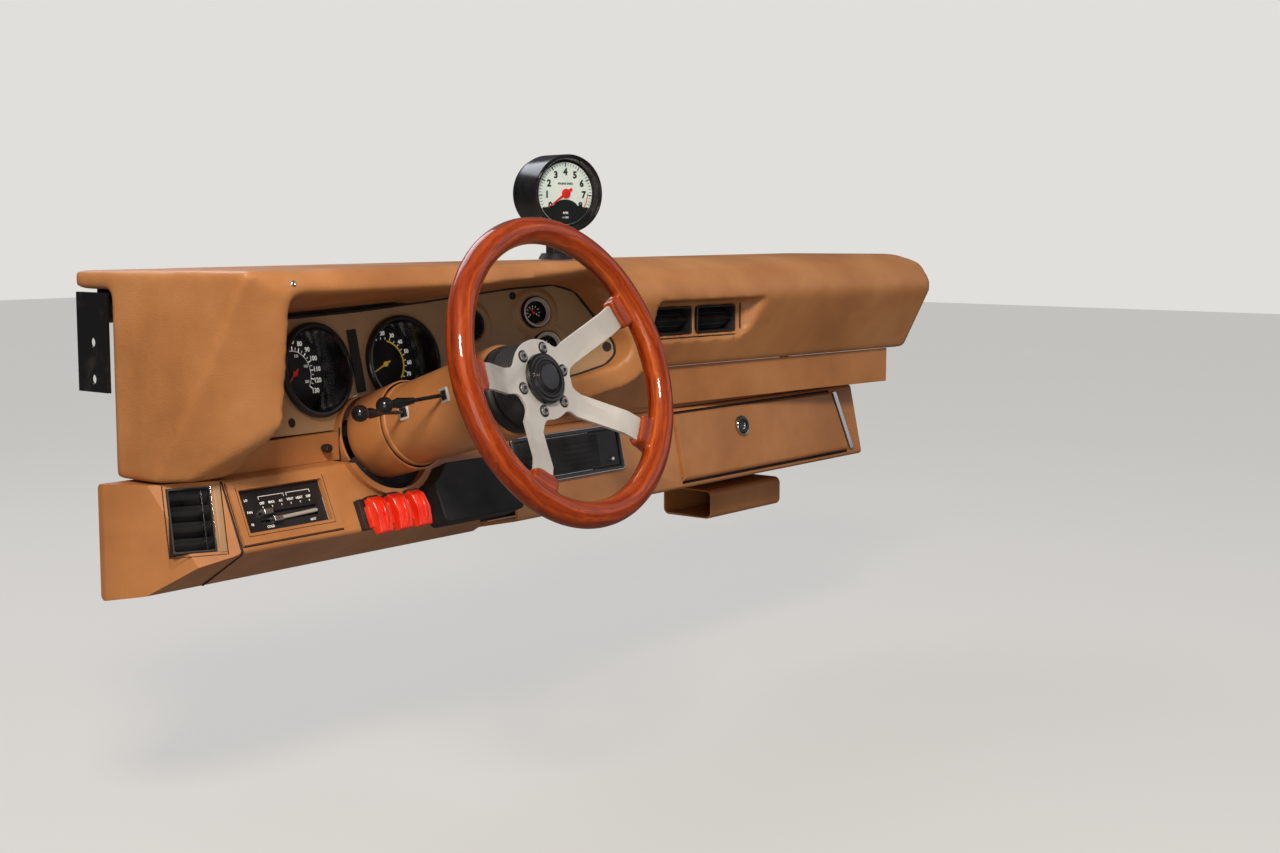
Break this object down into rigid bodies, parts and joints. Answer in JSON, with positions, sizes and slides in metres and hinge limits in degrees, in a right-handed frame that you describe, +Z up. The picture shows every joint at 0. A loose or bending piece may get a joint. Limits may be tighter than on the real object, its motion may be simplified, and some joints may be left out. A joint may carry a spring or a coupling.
{
  "type": "car dashboard with steering column and steering wheel",
  "caption": "Padded dashboard of a coupe with gauges, vents, a drop-down glove box door and a tilting steering column that carries a wood-rimmed steering wheel.",
  "frame": {"origin": "middle bolt hole of the cowl rail, on the rail's front face, under the foot of the windshield", "axes": "+X to the passenger side, +Y to the front of the car, +Z up"},
  "size_m": [1.4546, 0.752, 0.5403],
  "materials": {
    "pad_vinyl": "grained vinyl skin over foam",
    "panel_vinyl": "grained, satin",
    "column_paint": "satin",
    "gauge_plate": "fine diamond texture",
    "gauge_black": "gloss",
    "black_plastic": "satin",
    "red_plastic": "gloss",
    "bright_trim": "polished",
    "black_steel": "semi-gloss",
    "shaft_steel": "machined",
    "boot_rubber": "perforated",
    "spoke_aluminium": "satin",
    "rim_wood": "high gloss lacquer",
    "tach_black": "gloss"
  },
  "bodies": {
    "dashboard": {"dash_pad": "pad_vinyl", "fascia_strip": "panel_vinyl", "lower_strip": "panel_vinyl", "lower_panel": "panel_vinyl", "glove_panel": "panel_vinyl", "end_piece": "panel_vinyl", "floor_duct": "panel_vinyl", "column_shroud": "column_paint", "column_collar": "column_paint", "gauge_plate": "gauge_plate", "gauge_left": "gauge_black", "gauge_right": "gauge_black", "small_gauges": "gauge_black", "lamp_strip": "black_plastic", "light_knob": "black_plastic", "climate_control": "black_plastic", "switch_base": "black_plastic", "end_vent": "black_plastic", "centre_vent_left": "black_plastic", "centre_vent_right": "black_plastic", "control_box": "black_plastic", "radio": "black_plastic", "glove_bin": "black_plastic", "switch_covers": "red_plastic", "radio_frame": "bright_trim", "end_strip": "bright_trim", "cross_beam": "black_steel", "column_bracket": "black_steel", "panel_braces": "black_steel", "column_jacket": "black_steel", "tach_case": "tach_black", "tach_foot": "tach_black"},
    "tilt_head": {"column_head": "column_paint", "cover_disc": "black_plastic", "turn_lever": "black_plastic", "tilt_lever": "black_plastic"},
    "steering_wheel": {"steering_shaft": "shaft_steel", "hub_boot": "boot_rubber", "wheel_plate": "spoke_aluminium", "wheel_rim": "rim_wood", "horn_button": "black_plastic"},
    "lower_shaft": {"lower_shaft": "shaft_steel"},
    "glove_door": {"glove_door": "panel_vinyl", "glove_lock": "bright_trim"}
  },
  "joints": [
    {"name": "column_tilt", "type": "hinge", "parent": "dashboard", "child": "tilt_head", "pos_m": [-0.37, -0.19197, -0.15142], "axis": [-1, 0, 0], "range_deg": [-8, 12]},
    {"name": "steering_turn", "type": "hinge", "parent": "tilt_head", "child": "steering_wheel", "pos_m": [-0.37, -0.43, -0.075], "axis": [0, 0.9521, -0.3057], "range_deg": [-540, 540]},
    {"name": "lower_shaft_turn", "type": "hinge", "parent": "dashboard", "child": "lower_shaft", "pos_m": [-0.37, 0.14128, -0.25842], "axis": [0, 0.9521, -0.3057], "range_deg": [-540, 540]},
    {"name": "glove_door_hinge", "type": "hinge", "parent": "dashboard", "child": "glove_door", "pos_m": [0.406, -0.18757, -0.27544], "axis": [1, 0, 0], "range_deg": [0, 80]}
  ],
  "couplings": [
    {"joint": "lower_shaft_turn", "follows": "steering_turn", "ratio": 1}
  ]
}
